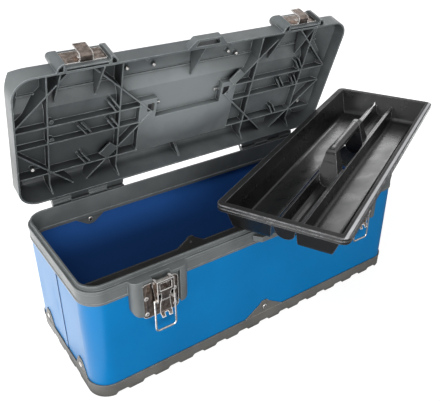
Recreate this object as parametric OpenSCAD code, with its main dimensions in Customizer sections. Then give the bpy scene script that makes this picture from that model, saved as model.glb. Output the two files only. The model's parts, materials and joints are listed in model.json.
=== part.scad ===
// Portable steel-and-plastic tool box, shown open: hinged lid leaning on the lift-out tote tray,
// two toggle latches with wire bails, folding carry handle on the lid.
// Frame: origin at the middle of the underside, +X along the length, +Y to the hinge, +Z up.

/* [Box] */
// Length over the collar
box_len = 580; // [540:1:640]
// Depth over the collar
box_dep = 226.5; // [220:0.5:250]
// Height of the collar's top edge above the floor
rim_z = 190.5; // [175:0.5:220]
// Corner radius of the collar, seen from above
corner_r = 31; // [26:1:38]

/* [Collar] */
// Wall of the collar at its step
collar_wall = 6.6; // [6:0.1:8]
// Width of the raised lip round the mouth
lip_w = 2.8; // [2.4:0.1:4]
// Height of the lip above the step
lip_h = 6; // [4:0.5:8]
// Height of the collar outside, lip included
collar_h = 28; // [24:1:34]
// Height of the collar inside
collar_in_h = 34; // [30:1:40]
// Reach of the ledge inside each end, on which the tray is stowed
end_ledge = 8; // [6:0.5:10]

/* [Steel shell] */
// Thickness of the painted sheet
sheet = 0.9; // [0.6:0.1:1.2]
// Inset of the sheet from the collar's outer face
sheet_inset = 1.5; // [1.2:0.1:2]
// Clearance of the sheet in its slots
slot_gap = 0.1; // [0.05:0.05:0.2]
// Width of the lap seam on the left end
seam_w = 12; // [8:1:20]

/* [Base] */
// Height of the base band
base_h = 21.4; // [18:0.2:26]
// Thickness of the floor
floor_t = 3; // [2.5:0.5:5]
// Pitch of the feet along the lower edge
foot_pitch = 42; // [32:1:50]
// Width of the gaps between the feet
foot_gap_w = 19; // [14:1:24]
// Height of the feet
foot_h = 4; // [2.5:0.1:5]
// Rise of the screw tabs above the band
tab_rise = 23; // [16:1:26]
// Half width of the long sides' screw tabs at the band
tab_half = 37; // [28:1:45]
// Half width of the ends' screw tabs at the band
end_tab_half = 19; // [15:1:21]
// Distance of the ends' screw tabs from the middle
end_tab_y = 62; // [50:1:62]

/* [Latches] */
// Distance of each latch from the box's end
latch_end = 103; // [90:1:120]
// Width of the moulded pad behind each latch
pad_w = 86; // [80:1:96]
// Reach of the pad's shoulders in front of the collar
pad_out = 12; // [10:0.5:14]
// Lower end of the body pad
pad_low_z = 128; // [120:1:134]
// Drop of the latch base plate below the pad
plate_drop = 11; // [2:0.5:14]
// Width of the latch base plate
plate_w = 55; // [48:1:60]
// Height of the latch base plate
plate_h = 56; // [52:1:60]
// Thickness of the latch base plate
plate_t = 1.2; // [1:0.1:1.6]
// Depth of the recess that holds the plate
plate_recess = 7; // [6:0.5:8]
// Height of the lever's pin
lever_pin_z = 177; // [174:0.5:177]
// Distance of the lever's pin from the plate
lever_stand = 6.6; // [6.4:0.1:7.5]
// Radius of the lever's pin
lever_pin_r = 1.5; // [1.2:0.1:1.8]
// Half width of the lever over its cheeks
lever_half = 12.6; // [12:0.1:14]
// Sheet thickness of the lever
lever_t = 1.2; // [1:0.1:1.5]
// Distance from the lever's pin down to the bail's ears
ear_drop = 26.5; // [24:0.5:29]
// Radius of the bail's wire
wire_r = 1.5; // [1.2:0.1:1.8]
// Half width of the bail, between wire centres
bail_half = 15.3; // [15.1:0.1:17]
// Length of the bail from its ears to the centre of its crossbar
bail_len = 50.7; // [48:0.1:54]

/* [Hinge] */
// Distance of the hinge axis behind the collar's rear face
hinge_out = 6.6; // [6.2:0.1:8]
// Height of the hinge axis above the collar's top edge
hinge_up = 4.6; // [4.5:0.1:6]
// Radius of the hinge pins
hinge_pin_r = 2; // [1.6:0.1:2.4]
// Radius of the knuckles
knuckle_r = 4.5; // [4:0.1:4.5]
// Length of one knuckle
knuckle_len = 30; // [24:1:32]
// Inner end of each hinge, from the middle
hinge_x = 121; // [110:1:130]
// Angle of the lid from closed
lid_angle = 71.3; // [60:0.1:71.3]

/* [Lid] */
// Gap between collar and closed lid
lid_gap = 0.4; // [0.3:0.1:1]
// Height of the lid's upright skirt
skirt_h = 23.8; // [20:0.2:28]
// Height of the lid's crown
crown_h = 47.6; // [44:0.2:52]
// Wall of the lid
lid_wall = 2.6; // [2:0.1:3]
// Depth of the valley along the lid's top
valley_d = 12; // [8:0.5:14]
// Rear edge of the valley's floor, from the lid's rear face
valley_rear = 40; // [34:1:46]
// Front edge of the valley's floor, from the lid's rear face
valley_front = 149; // [140:1:158]
// Run of the valley's front slope
valley_run = 18; // [14:1:22]
// Distance of the ribs' free edges from the lid's rim
rib_free = 21; // [18:1:24]
// Thickness of the ribs
rib_t = 2; // [1.6:0.1:2.6]

/* [Carry handle] */
// Distance of the handle's pins from the lid's rear face
handle_s = 117; // [112:1:122]
// Height of the handle's pins above the lid's rim
handle_w = 31; // [30:0.5:32]
// Distance of the arms from the middle
arm_x = 76; // [72:1:80]
// Width of each arm
arm_w = 16; // [12:1:18]
// Distance from the pins to the grip
grip_reach = 62; // [56:1:66]
// Radius of the grip
grip_r = 9; // [8:0.5:9.5]
// Radius of the handle's pins
handle_pin_r = 2.5; // [2:0.1:3]

/* [Tote tray] */
// Length over the flange
tray_len = 555; // [540:1:556]
// Clearance of the stowed flange from the collar, along each long side
tray_play = 10.75; // [8:0.05:14]
// Depth from the flange's top to the underside
tray_dep = 46.5; // [42:0.5:52]
// Middle of the laid-down tray, from the box's right end
tray_end = 78.8; // [74:0.1:86]
// Reach of the tray's rear corner behind the collar, where the lid leans
tray_reach = 49.58; // [40:0.02:49.6]
// Turn of the tray
tray_turn = 27; // [20:0.5:27]
// Wall of the tray
tray_wall = 2.4; // [2:0.1:3]
// Width of the flange
flange_w = 8; // [6:0.5:10]
// Height of the flange's turned-down edge
flange_t = 9.5; // [5:0.5:11]
// Radius of the flange's corners
flange_r = 12; // [9:0.5:16]
// Depth of the dividers' tops below the flange
divider_drop = 18; // [14:1:22]
// Height of the grip's middle above the flange
tote_grip_up = 13; // [10:1:18]
// Radius of the tray's grip
tote_grip_r = 8; // [7:0.5:9]
// Half length of the hand opening
hand_half = 56; // [50:1:62]

/* [Hidden] */
$fn = 48;

grey = "#80827f";
dark_grey = "#5c6163";
blue = "#0074b8";
steel = "#b9aea8";
black = "#1b1c1e";

// running clearance of pins in their bores, and the looser fit of rivets and screws
run_gap = 0.08;
hole_gap = 0.05;
// general clearance between parts that are not fitted
free_gap = 0.3;
// overlap that lets cutting shapes break through a face
cut = 1;

front_y = -box_dep / 2;
rear_y = box_dep / 2;
step_z = rim_z - lip_h;
collar_low_z = rim_z - collar_h;
collar_in_z = rim_z - collar_in_h;
sheet_face = front_y + sheet_inset;
collar_cap = 5;
// set-back of the skirt's face between the collar's cap and its lower bead
skirt_in = 0.6;
sheet_top_z = step_z - collar_cap - free_gap;
sheet_low_z = 6;
slot_in = sheet_inset + sheet + slot_gap;
slot_out = sheet_inset - slot_gap;

latch_x = box_len / 2 - latch_end;
pad_face = front_y - pad_out;
recess_face = pad_face + plate_recess;
plate_face = recess_face - plate_t;
lever_y = plate_face - lever_stand;
plate_low_z = pad_low_z - plate_drop;
ear_y = lever_y - 5;
ear_z = lever_pin_z - ear_drop;

hinge_y = rear_y + hinge_out;
hinge_z = rim_z + hinge_up;
lid_rim_z = rim_z + lid_gap;

tray_z = rim_z + free_gap + tray_dep;
tray_wid = box_dep - 2 * (collar_wall + tray_play);
tray_x = box_len / 2 - tray_end;
tray_y = rear_y + tray_reach - tray_len / 2 * sin(tray_turn) - tray_wid / 2 * cos(tray_turn);

// ---------- shared shapes ----------

// flat outline of a rectangle with rounded corners, centred
module rounded_outline(len, dep, r) {
    square([len - 2 * r, dep], center = true);
    square([len, dep - 2 * r], center = true);
    for (sx = [-1, 1], sy = [-1, 1])
        translate([sx * (len / 2 - r), sy * (dep / 2 - r)]) circle(r);
}

// rounded block of the box's outline, drawn in by inset
module box_prism(inset, z0, z1) {
    translate([0, 0, z0])
        linear_extrude(z1 - z0)
            rounded_outline(box_len - 2 * inset, box_dep - 2 * inset, corner_r - inset);
}

// ring between two insets of the box's outline
module box_ring(inset_out, inset_in, z0, z1) {
    difference() {
        box_prism(inset_out, z0, z1);
        box_prism(inset_in, z0 - cut, z1 + cut);
    }
}

// extrudes an outline drawn in (y, z) along X, between x0 and x1
module along_x(x0, x1) {
    translate([x0, 0, 0])
        rotate([90, 0, 90])
            linear_extrude(x1 - x0) children();
}

// extrudes an outline drawn in (x, z) along Y, between y0 and y1
module along_y(y0, y1) {
    translate([0, y1, 0])
        rotate([90, 0, 0])
            linear_extrude(y1 - y0) children();
}

// round bar along X
module rod_x(x0, x1, y, z, r) {
    translate([x0, y, z]) rotate([0, 90, 0]) cylinder(r = r, h = x1 - x0);
}

// round bar along Y
module rod_y(x, y0, y1, z, r) {
    translate([x, y1, z]) rotate([90, 0, 0]) cylinder(r = r, h = y1 - y0);
}

// straight round bar between two points
module rod(a, b, r) {
    d = b - a;
    translate(a)
        rotate([0, acos(d.z / norm(d)), atan2(d.y, d.x)])
            cylinder(r = r, h = norm(d));
}

// points of a circular arc, from angle a0 to a1
function arc(cx, cy, r, a0, a1, n) = [for (k = [0:n]) let(a = a0 + (a1 - a0) * k / n)
    [cx + r * cos(a), cy + r * sin(a)]];

// ---------- base ----------

screw_r = 2.2;
tab_screw_z = base_h + 11;

// outline of one screw tab, rising from the band, centred at c
module tab_outline(half, rise, c) {
    peak = 5;
    polygon([[c - half, base_h - 2], [c + half, base_h - 2], [c + half, base_h],
             [c + peak + 4, base_h + rise - 5], [c + peak, base_h + rise],
             [c - peak, base_h + rise], [c - peak - 4, base_h + rise - 5], [c - half, base_h]]);
}

// thickness of the tabs outside and inside the sheet
tab_skin = 1.3;
tab_in = 3;

// tabs of one long side, outside and inside the sheet
module side_tabs(side) {
    y_out = side * (box_dep / 2 - slot_out);
    y_in = side * (box_dep / 2 - slot_in);
    along_y(min(y_out, y_out + side * tab_skin), max(y_out, y_out + side * tab_skin))
        tab_outline(tab_half, tab_rise, 0);
    along_y(min(y_in, y_in - side * tab_in), max(y_in, y_in - side * tab_in))
        tab_outline(tab_half, tab_rise, 0);
}

module end_tabs(side) {
    x_out = side * (box_len / 2 - slot_out);
    x_in = side * (box_len / 2 - slot_in);
    for (c = [-end_tab_y, end_tab_y]) {
        along_x(min(x_out, x_out + side * tab_skin), max(x_out, x_out + side * tab_skin))
            tab_outline(end_tab_half, tab_rise, c);
        along_x(min(x_in, x_in - side * tab_in), max(x_in, x_in - side * tab_in))
            tab_outline(end_tab_half, tab_rise, c);
    }
}

// gaps between the feet, cut through the lower edge of the skirt
module foot_gaps() {
    lean = foot_h * 0.6;
    gap_outline = [[-foot_gap_w / 2 - lean, -cut], [foot_gap_w / 2 + lean, -cut],
                   [foot_gap_w / 2 - lean, foot_h], [-foot_gap_w / 2 + lean, foot_h]];
    n_side = floor((box_len / 2 - corner_r) / foot_pitch);
    n_end = floor((box_dep / 2 - corner_r) / foot_pitch);
    for (k = [-n_side:n_side])
        translate([k * foot_pitch, 0, 0])
            along_y(-box_dep, box_dep) polygon(gap_outline);
    for (k = [-n_end:n_end])
        translate([0, k * foot_pitch, 0])
            along_x(-box_len, box_len) polygon(gap_outline);
}

// ribs under the floor, down to the ground
module bearing_ribs() {
    rib_w = 5;
    len = box_len - 2 * corner_r;
    dep = box_dep - 2 * corner_r;
    for (k = [-1:1]) {
        translate([-len / 2, k * dep / 3 - rib_w / 2, 0]) cube([len, rib_w, foot_h + cut]);
        translate([k * len / 3 - rib_w / 2, -dep / 2, 0]) cube([rib_w, dep, foot_h + cut]);
    }
}

module base_tray() {
    wall_in = slot_in + 3;
    color(grey) difference() {
        union() {
            // skirt, floor and the upstand inside the sheet
            difference() {
                box_ring(0.2, slot_out, 0, base_h);
                foot_gaps();
            }
            box_prism(slot_out - 0.5, foot_h, foot_h + floor_t);
            bearing_ribs();
            box_ring(slot_in, wall_in, foot_h, base_h + 5);
            // bead along the top of the skirt
            box_ring(-0.5, slot_out, base_h - 3, base_h);
            for (side = [-1, 1]) {
                side_tabs(side);
                end_tabs(side);
            }
        }
        for (side = [-1, 1])
            rod_y(0, side > 0 ? rear_y - 12 : front_y - 4, side > 0 ? rear_y + 4 : front_y + 12,
                  tab_screw_z, screw_r + hole_gap);
        for (c = [-end_tab_y, end_tab_y])
            rod_x(-box_len / 2 - 4, box_len / 2 + 4, c, tab_screw_z, screw_r + hole_gap);
    }
}

module base_screws() {
    color(steel) {
        shank = tab_skin + slot_in - slot_out + tab_in;
        y_face = box_dep / 2 - slot_out + tab_skin;
        x_face = box_len / 2 - slot_out + tab_skin;
        for (side = [-1, 1]) {
            translate([0, side * y_face, tab_screw_z])
                rotate([0, 0, side > 0 ? 0 : 180]) tab_screw(shank);
            for (c = [-end_tab_y, end_tab_y])
                translate([side * x_face, c, tab_screw_z])
                    rotate([0, 0, side > 0 ? -90 : 90]) tab_screw(shank);
        }
    }
}

// screw whose head sits on the face y = 0 and whose shank runs towards -Y
module tab_screw(shank) {
    rotate([90, 0, 0]) cylinder(r = screw_r, h = shank);
    rotate([-90, 0, 0]) cylinder(r = 4, h = 0.9);
    rotate([-90, 0, 0]) translate([0, 0, 0.9]) cylinder(r1 = 4, r2 = 2.6, h = 0.9);
}

// ---------- painted steel shell ----------

module body_shell() {
    lap = 1.1;
    color(blue) difference() {
        union() {
            box_ring(sheet_inset, sheet_inset + sheet, sheet_low_z + foot_h, sheet_top_z);
            // lapped seam down the left end
            translate([-box_len / 2 + sheet_inset - lap * 0.6, -seam_w, base_h + 0.4])
                cube([lap, seam_w, collar_low_z - base_h - 0.8]);
        }
        for (side = [-1, 1])
            rod_y(0, side > 0 ? rear_y - 12 : front_y - 4, side > 0 ? rear_y + 4 : front_y + 12,
                  tab_screw_z, screw_r + hole_gap);
        for (c = [-end_tab_y, end_tab_y])
            rod_x(-box_len / 2 - 4, box_len / 2 + 4, c, tab_screw_z, screw_r + hole_gap);
        for (side = [-1, 1])
            latch_rivet_holes(side * latch_x);
        for (side = [-1, 1])
            rod_y(side * latch_x, rear_y - 12, rear_y + 4, tab_z, screw_r + hole_gap);
    }
}

// ---------- grey collar ----------

tab_z = collar_in_z - 6;
inner_tab_t = 3;
rivet_r = 2;
rivet_x = 21.5;
rivet_rows = [plate_low_z + 7, plate_low_z + 33];

module latch_rivet_holes(cx) {
    for (s = [-1, 1], z = rivet_rows)
        rod_y(cx + s * rivet_x, front_y - pad_out - 4, front_y + 14, z, rivet_r + hole_gap);
}

// round of the pads' shoulders
shoulder_r = 11.5;

// plan of a pad with rounded shoulders, drawn forwards from y = 0
module pad_plan(w, out, r) {
    translate([0, -out / 2]) square([w - 2 * r, out], center = true);
    translate([0, (r - out) / 2]) square([w, out - r], center = true);
    for (s = [-1, 1]) translate([s * (w / 2 - r), -out + r]) circle(r);
}

module body_pad(cx) {
    foot_r = 13;
    back = sheet_inset - free_gap / 2;
    top = step_z;
    translate([cx, 0, 0]) difference() {
        intersection() {
            translate([0, front_y + back, pad_low_z])
                linear_extrude(top - pad_low_z)
                    pad_plan(pad_w, pad_out + back, shoulder_r);
            along_y(front_y - pad_out - cut, front_y + back) union() {
                translate([-pad_w / 2, pad_low_z + foot_r]) square([pad_w, top - pad_low_z - foot_r]);
                translate([-pad_w / 2 + foot_r, pad_low_z]) square([pad_w - 2 * foot_r, foot_r + cut]);
                for (s = [-1, 1]) translate([s * (pad_w / 2 - foot_r), pad_low_z + foot_r]) circle(foot_r);
            }
        }
        // recess for the latch base plate
        translate([-plate_w / 2 - free_gap, pad_face - cut, plate_low_z - cut - 2])
            cube([plate_w + 2 * free_gap, plate_recess + cut, step_z - 2 - plate_low_z + cut]);
        // notch in the pad's top for the lever
        translate([-lever_half - 1.2, pad_face - cut, step_z - 4])
            cube([2 * lever_half + 2.4, plate_recess + cut, 4 + cut]);
    }
}

// tab that hangs from the collar inside the sheet and takes a screw or the latch's rivets
module inner_tab(cx, side, low_z) {
    half = 26;
    y_face = side * (box_dep / 2 - slot_in);
    along_y(min(y_face, y_face - side * inner_tab_t), max(y_face, y_face - side * inner_tab_t))
        polygon([[cx - half, collar_in_z + 2], [cx - half, collar_in_z], [cx - 9, low_z + 3],
                 [cx - 5, low_z], [cx + 5, low_z], [cx + 9, low_z + 3],
                 [cx + half, collar_in_z], [cx + half, collar_in_z + 2]]);
}

// square backing plate inside the sheet, behind one latch and up against the collar's inner skirt
module latch_backing(cx) {
    color(steel) difference() {
        translate([cx - plate_w / 2, front_y + slot_in, plate_low_z])
            cube([plate_w, inner_tab_t, collar_in_z - plate_low_z]);
        latch_rivet_holes(cx);
    }
}

lug_half = 30;
lug_out = 14;
lug_z = [step_z - collar_cap - 8, step_z - collar_cap];
lug_hole_r = 4;
lug_hole_y = front_y - 8;

// eye for a padlock, seated on the collar's skirt under its cap
module padlock_lug() {
    color(grey) difference() {
        translate([0, front_y + skirt_in, lug_z[0]])
            linear_extrude(lug_z[1] - lug_z[0])
                polygon([[-lug_half, 0], [lug_half, 0], [lug_half, -skirt_in - 2],
                         [lug_half - 8, -lug_out], [-lug_half + 8, -lug_out],
                         [-lug_half, -skirt_in - 2]]);
        translate([0, lug_hole_y, lug_z[0] - cut])
            cylinder(r = lug_hole_r, h = lug_z[1] - lug_z[0] + 2 * cut);
    }
}

// x of the start of knuckle k, counted outwards; side -1 is the left hinge
function knuckle_x(side, k) = side > 0
    ? hinge_x + k * knuckle_len
    : -hinge_x - (k + 1) * knuckle_len;

// saddle that carries the pin, open towards the front and the top
module collar_knuckle(side, k) {
    x0 = knuckle_x(side, k) + free_gap / 2;
    x1 = x0 + knuckle_len - free_gap;
    difference() {
        union() {
            rod_x(x0, x1, hinge_y, hinge_z, knuckle_r);
            along_x(x0, x1) polygon([[rear_y - 0.5, rim_z - 16], [rear_y + 2, rim_z - 16],
                                     [hinge_y + knuckle_r * 0.97, hinge_z - 1.2], [hinge_y, hinge_z],
                                     [rear_y + 0.8, rim_z + 1.4], [rear_y + 0.8, step_z + 1],
                                     [rear_y - 0.5, step_z]]);
        }
        rod_x(x0 - cut, x1 + cut, hinge_y, hinge_z, hinge_pin_r + run_gap);
        // the mouth through which the pin shows
        translate([x0 - cut, hinge_y, hinge_z])
            rotate([-35, 0, 0])
                translate([0, -3 * knuckle_r, 0.4])
                    cube([knuckle_len + 2 * cut, 3 * knuckle_r, 2 * knuckle_r]);
    }
}

// trough behind the collar in which a knuckle of the lid turns
module hinge_saddle(side, k) {
    x0 = knuckle_x(side, k) + free_gap / 2;
    x1 = x0 + knuckle_len - free_gap;
    bed_r = knuckle_r + 0.4;
    difference() {
        along_x(x0, x1) polygon([[rear_y - 0.5, rim_z - 16], [rear_y + 2, rim_z - 16],
                                 [hinge_y + bed_r + 1.2, hinge_z - 3.5],
                                 [hinge_y + bed_r + 1.2, hinge_z - 1.5],
                                 [hinge_y + bed_r, hinge_z - 1.5], [hinge_y, rim_z - 0.2],
                                 [rear_y - 0.5, rim_z - 0.2]]);
        rod_x(x0 - cut, x1 + cut, hinge_y, hinge_z, bed_r);
    }
}

module top_collar() {
    color(grey) difference() {
        union() {
            // lip, step, outer skin and inner skirt
            box_ring(collar_wall - lip_w, collar_wall, step_z - 1, rim_z);
            box_ring(0, collar_wall, step_z - collar_cap, step_z);
            box_ring(skirt_in, slot_out, collar_low_z, step_z - collar_cap + cut);
            box_ring(0, slot_out, collar_low_z, collar_low_z + 3);
            box_ring(slot_in, collar_wall, collar_in_z, step_z - collar_cap + cut);
            // rolled bead at the skirt's lower edge, inside
            box_ring(collar_wall - cut, collar_wall + 1.5, collar_in_z, collar_in_z + 5);
            // ledges inside the two ends
            for (side = [-1, 1]) intersection() {
                box_prism(collar_wall - cut, collar_in_z, collar_in_z + 4);
                translate([side > 0 ? box_len / 2 - collar_wall - end_ledge : -box_len / 2,
                           -box_dep / 2, collar_in_z])
                    cube([collar_wall + end_ledge, box_dep, 4]);
            }
            for (side = [-1, 1]) {
                body_pad(side * latch_x);
                inner_tab(side * latch_x, 1, collar_in_z - 15);
                for (k = [1, 3]) collar_knuckle(side, k);
                for (k = [0, 2]) hinge_saddle(side, k);
            }
        }
        for (side = [-1, 1]) {
            latch_rivet_holes(side * latch_x);
            rod_y(side * latch_x, rear_y - 12, rear_y + 4, tab_z, screw_r + hole_gap);
        }
    }
}

// screws that hold the collar's rear tabs to the sheet
module collar_screws() {
    color(steel) for (side = [-1, 1])
        translate([side * latch_x, rear_y - slot_in - inner_tab_t, tab_z])
            rotate([0, 0, 180]) tab_screw(inner_tab_t + sheet + slot_gap + 0.6);
}

// ---------- toggle latch ----------

cheek_t = 1.2;
cheek_in = lever_half - lever_t - 0.4 - cheek_t;

module latch_base(cx) {
    r = 7;
    color(steel) translate([cx, 0, 0]) difference() {
        union() {
            along_y(plate_face, recess_face)
                translate([0, plate_low_z + plate_h / 2]) rounded_outline(plate_w, plate_h, r);
            // two cheeks that hold the lever's pin
            for (s = [-1, 1])
                along_x(s > 0 ? cheek_in : -cheek_in - cheek_t, s > 0 ? cheek_in + cheek_t : -cheek_in)
                    union() {
                        translate([lever_y, lever_pin_z]) circle(4.6);
                        polygon([[lever_y, lever_pin_z - 4.6], [plate_face + 0.2, lever_pin_z - 14],
                                 [plate_face + 0.2, plate_low_z + plate_h - 3],
                                 [lever_y + 3, lever_pin_z + 3.4], [lever_y, lever_pin_z]]);
                    }
        }
        rod_x(-30, 30, lever_y, lever_pin_z, lever_pin_r + hole_gap);
        for (s = [-1, 1], z = rivet_rows)
            rod_y(s * rivet_x, plate_face - 4, recess_face + 4, z, rivet_r + hole_gap);
    }
}

// flat-headed rivet through the plate, the pad, the sheet and the backing
module latch_rivets(cx) {
    head_h = 0.7;
    tail_y = front_y + slot_in + inner_tab_t;
    color(steel) for (s = [-1, 1], z = rivet_rows) translate([cx + s * rivet_x, 0, z]) {
        rod_y(0, plate_face, tail_y, 0, rivet_r);
        translate([0, plate_face, 0]) rotate([90, 0, 0]) cylinder(r1 = 3.4, r2 = 2.6, h = head_h);
        translate([0, tail_y, 0]) rotate([-90, 0, 0]) cylinder(r1 = 3.4, r2 = 2.6, h = 1);
    }
}

module lever_pin(cx) {
    color(steel) rod_x(cx - lever_half - 0.4, cx + lever_half + 0.4, lever_y, lever_pin_z, lever_pin_r);
}

// outline of the thumb tongue, seen from the front
module tongue_outline(top_z, low_z) {
    polygon([[-8, top_z], [-6.5, top_z - 10], [-9, low_z + 5], [-8, low_z], [-2.5, low_z],
             [-2.5, low_z + 5], [2.5, low_z + 5], [2.5, low_z], [8, low_z], [9, low_z + 5],
             [6.5, top_z - 10], [8, top_z]]);
}

// pressed lever, folded down against the latch base
module lever(cx) {
    face_y = ear_y - 3.6;
    top_z = lever_pin_z + 6;
    bar_z = lever_pin_z - 12;
    tip_z = plate_low_z + 7;
    inner = lever_half - lever_t;
    color(steel) translate([cx, 0, 0]) difference() {
        union() {
            for (s = [-1, 1])
                along_x(s > 0 ? inner : -lever_half, s > 0 ? lever_half : -inner) union() {
                    translate([lever_y, lever_pin_z]) circle(5);
                    translate([ear_y, ear_z]) circle(3.6);
                    polygon([[lever_y + 5, lever_pin_z], [ear_y + 3.6, ear_z], [ear_y - 3.6, ear_z],
                             [face_y - lever_t, bar_z], [face_y - lever_t, top_z], [face_y, top_z],
                             [lever_y - 3, lever_pin_z + 4.6],
                             [lever_y, lever_pin_z + 5]]);
                }
            // face plate
            along_y(face_y - lever_t, face_y)
                translate([-lever_half, bar_z - 1]) square([2 * lever_half, top_z - bar_z + 1]);
            // tongue that the thumb lifts
            intersection() {
                along_x(-lever_half, lever_half)
                    polygon([[face_y, bar_z + 1], [face_y, bar_z - 1], [face_y + 4, bar_z - 20],
                             [face_y + 3.4, tip_z + 7], [face_y - 1.8, tip_z - 1],
                             [face_y - 3, tip_z - 1], [face_y + 2.1, tip_z + 7.4],
                             [face_y + 2.7, bar_z - 20], [face_y - lever_t, bar_z - 1.4],
                             [face_y - lever_t, bar_z + 1]]);
                along_y(face_y - 8, face_y + 8) tongue_outline(bar_z + 1, tip_z);
            }
        }
        // window in the face
        translate([-8.4, face_y - lever_t - cut, bar_z + 3])
            cube([16.8, lever_t + 2 * cut, top_z - bar_z - 6.5]);
        rod_x(-30, 30, lever_y, lever_pin_z, lever_pin_r + run_gap);
        rod_x(-30, 30, ear_y, ear_z, wire_r + run_gap);
    }
}

// wire loop that hangs from the lever's ears
module bail(cx) {
    bend = 5;
    low_z = ear_z - bail_len;
    color(steel) translate([cx, ear_y, 0]) {
        for (s = [-1, 1]) {
            rod([s * (lever_half - lever_t - 1.5), 0, ear_z], [s * bail_half, 0, ear_z], wire_r);
            translate([s * bail_half, 0, ear_z]) sphere(wire_r);
            rod([s * bail_half, 0, low_z + bend], [s * bail_half, 0, ear_z], wire_r);
            mirror([s > 0 ? 0 : 1, 0, 0])
                translate([bail_half - bend, 0, low_z + bend])
                    rotate([-90, 0, 0])
                        rotate_extrude(angle = 90) translate([bend, 0]) circle(wire_r);
        }
        rod([-bail_half + bend, 0, low_z], [bail_half - bend, 0, low_z], wire_r);
    }
}

// ---------- hinge pins ----------

module hinge_pin(side) {
    x0 = side > 0 ? hinge_x + 0.5 : -hinge_x - 4 * knuckle_len + 0.5;
    color(steel) rod_x(x0, x0 + 4 * knuckle_len - 1, hinge_y, hinge_z, hinge_pin_r);
}

// ---------- lid, drawn closed ----------

// turns what is drawn closed to the lid's resting angle
module lid_pose() {
    translate([0, hinge_y, hinge_z])
        rotate([-lid_angle, 0, 0])
            translate([0, -hinge_y, -hinge_z]) children();
}

// places a shape drawn in lid coordinates: x along the lid, y from the rear face forwards, z from the rim up
module lid_frame() {
    translate([0, rear_y, lid_rim_z]) mirror([0, 1, 0]) children();
}

bevel = crown_h - skirt_h;
floor_w = crown_h - valley_d;

// side profile of the lid as (from rear, from rim), drawn in by t
function lid_profile(t) = concat(
    [[t, -cut * 2 * (t > 0 ? 1 : 0)], [t, crown_h - 12]],
    arc(t + 12 - t * 0.4, crown_h - 12 - t * 0.6, 12 - t * 0.4, 180, 90, 5),
    [[valley_rear - 11, crown_h - t], [valley_rear, floor_w - t],
     [valley_front, floor_w - t], [valley_front + valley_run, crown_h - t],
     [box_dep - bevel + t * 0.4, crown_h - t], [box_dep - t, skirt_h - t * 0.4],
     [box_dep - t, -cut * 2 * (t > 0 ? 1 : 0)]]);

// end profile of the lid as (along, from rim), drawn in by t
function lid_end_profile(t) = [
    [-box_len / 2 + t, -3 * cut], [-box_len / 2 + t, skirt_h - t * 0.4],
    [-box_len / 2 + bevel - t * 0.4, crown_h - t * 0.5], [-box_len / 2 + bevel, crown_h + cut],
    [box_len / 2 - bevel, crown_h + cut], [box_len / 2 - bevel + t * 0.4, crown_h - t * 0.5],
    [box_len / 2 - t, skirt_h - t * 0.4], [box_len / 2 - t, -3 * cut]];

// lid's outer form for t = 0, the hollow inside it for t = lid_wall
module lid_body(t) {
    intersection() {
        along_x(-box_len / 2, box_len / 2) polygon(lid_profile(t));
        along_y(0, box_dep) polygon(lid_end_profile(t));
        translate([0, box_dep / 2, -3 * cut])
            linear_extrude(crown_h + 4 * cut)
                rounded_outline(box_len - 2 * t, box_dep - 2 * t, corner_r - t);
    }
}

recess_floor = 25;
recess_rear = 33;
grip_front = 93;
post_front = 130;
post_in = 64;
post_out = 88;

// U-shaped recess for the folded handle, grown by t and reaching up from the height w
module handle_recess(t, w, top) {
    for (s = [-1, 1])
        translate([s > 0 ? post_in - t : -post_out - t, recess_rear - t, w])
            cube([post_out - post_in + 2 * t, post_front - recess_rear + 2 * t, top - w]);
    translate([-post_in - cut, recess_rear - t, w])
        cube([2 * post_in + 2 * cut, grip_front - recess_rear + 2 * t, top - w]);
}

rib_x = [236, 125];
rib_s = [124, 93, 35];
diamond_s = 109;
diamond_half = 118;

// one rib of the lid, from p to q in (along, from rear), hanging from the top down to free
module rib(p, q, free) {
    d = q - p;
    translate([p.x, p.y, free])
        rotate([0, 0, atan2(d.y, d.x)])
            translate([0, -rib_t / 2, 0])
                cube([norm(d), rib_t, crown_h - free]);
}

// pair of short ribs from p to q
module rib_pair(p, q, free) {
    for (k = [-2.8, 2.8])
        rib([p.x + k, p.y + k * 0.7], [q.x + k, q.y + k * 0.7], free);
}

// web at the ribs' free edges beside a diagonal, centred at c
module strap(c, len, wid, turn) {
    translate([c.x, c.y, rib_free])
        rotate([0, 0, turn])
            translate([-len / 2, 0, 0]) cube([len, wid, lid_wall]);
}

// gusset on the front wall at x, reaching to the valley
module front_gusset(x) {
    along_x(x - rib_t / 2, x + rib_t / 2)
        polygon([[box_dep, 5], [valley_front + 2, floor_w], [box_dep, crown_h]]);
}

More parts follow.
